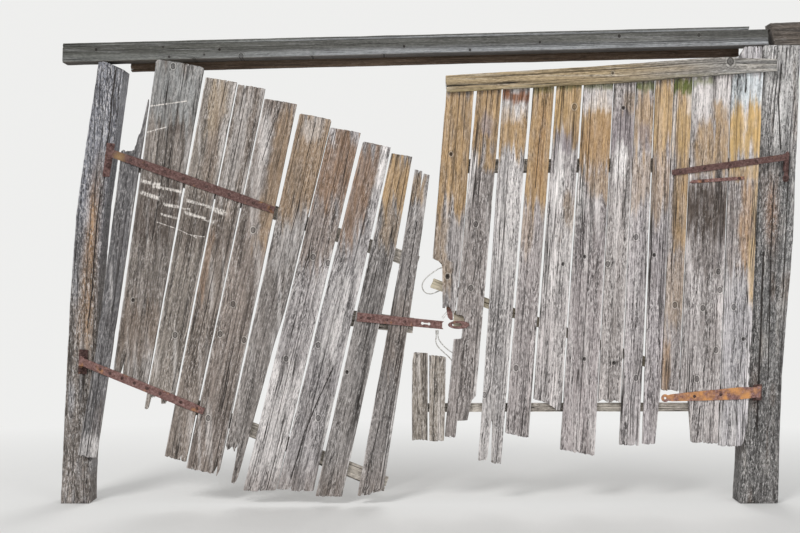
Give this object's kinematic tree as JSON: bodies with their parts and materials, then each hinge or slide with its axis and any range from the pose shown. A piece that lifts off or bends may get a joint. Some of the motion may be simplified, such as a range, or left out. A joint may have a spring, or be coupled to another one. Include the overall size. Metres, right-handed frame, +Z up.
{
  "type": "barn door",
  "caption": "double-leaf ledged barn door of weathered boards, sagging in its frame of posts and lintel, on strap hinges with a hasp bar",
  "frame": {"origin": "the barn_doorway mount: on the ground, at the middle of the door's overall box", "axes": "+X to the right seen from outside, +Y into the barn, +Z up"},
  "size_m": [4.104, 0.207, 2.666],
  "materials": {
    "weathered_wood": "weathered, dry",
    "pale_wood": "pale, raw",
    "rusted_iron": "rusted, matt",
    "cable_steel": "dull"
  },
  "bodies": {
    "frame": {"left_post": "weathered_wood", "right_post": "weathered_wood", "lintel": "weathered_wood", "lintel_lath": "weathered_wood", "lintel_rail": "weathered_wood", "side_beam_end": "weathered_wood", "left_upper_pintle": "rusted_iron", "left_lower_pintle": "rusted_iron", "right_upper_pintle": "rusted_iron", "right_lower_pintle": "rusted_iron", "pintle_bolts": "rusted_iron"},
    "left_leaf": {"left_board_1": "weathered_wood", "left_board_2": "weathered_wood", "left_board_3": "weathered_wood", "left_board_4": "weathered_wood", "left_board_5": "weathered_wood", "left_board_6": "weathered_wood", "left_board_7": "weathered_wood", "left_board_8": "weathered_wood", "left_board_9": "weathered_wood", "left_board_10": "weathered_wood", "left_upper_ledge": "weathered_wood", "left_lower_ledge": "weathered_wood", "hasp_ledge": "weathered_wood", "left_upper_strap": "rusted_iron", "left_lower_strap": "rusted_iron", "left_strap_nails": "rusted_iron", "hasp_bar": "rusted_iron", "hasp_nails": "rusted_iron"},
    "right_leaf": {"right_board_1": "weathered_wood", "right_board_2": "weathered_wood", "right_board_3": "weathered_wood", "right_board_4": "weathered_wood", "right_board_5": "weathered_wood", "right_board_6": "weathered_wood", "right_board_7": "weathered_wood", "right_board_8": "weathered_wood", "right_board_9": "weathered_wood", "right_board_10": "weathered_wood", "right_board_11": "weathered_wood", "right_board_12": "weathered_wood", "right_stub_1": "weathered_wood", "right_stub_2": "weathered_wood", "top_batten": "weathered_wood", "right_upper_ledge": "weathered_wood", "right_lower_ledge": "weathered_wood", "brace": "pale_wood", "right_upper_strap": "rusted_iron", "right_lower_strap": "rusted_iron", "patch_strap": "rusted_iron", "right_strap_nails": "rusted_iron", "keeper": "rusted_iron", "keeper_block": "pale_wood", "keeper_strap": "rusted_iron", "tie_wires": "cable_steel", "cable_clamp": "rusted_iron", "cable_hook": "rusted_iron", "cable_ferrule": "cable_steel", "cable_loop": "cable_steel", "cable_hanging": "cable_steel"}
  },
  "joints": [
    {"name": "left_hinge", "type": "hinge", "parent": "frame", "child": "left_leaf", "pos_m": [-1.926, -0.07244, 0.791], "axis": [-0.1383, 0, -0.9904], "range_deg": [0, 100]},
    {"name": "right_hinge", "type": "hinge", "parent": "frame", "child": "right_leaf", "pos_m": [1.804, -0.07244, 0.621], "axis": [0.119, 0, 0.9929], "range_deg": [0, 95]}
  ]
}
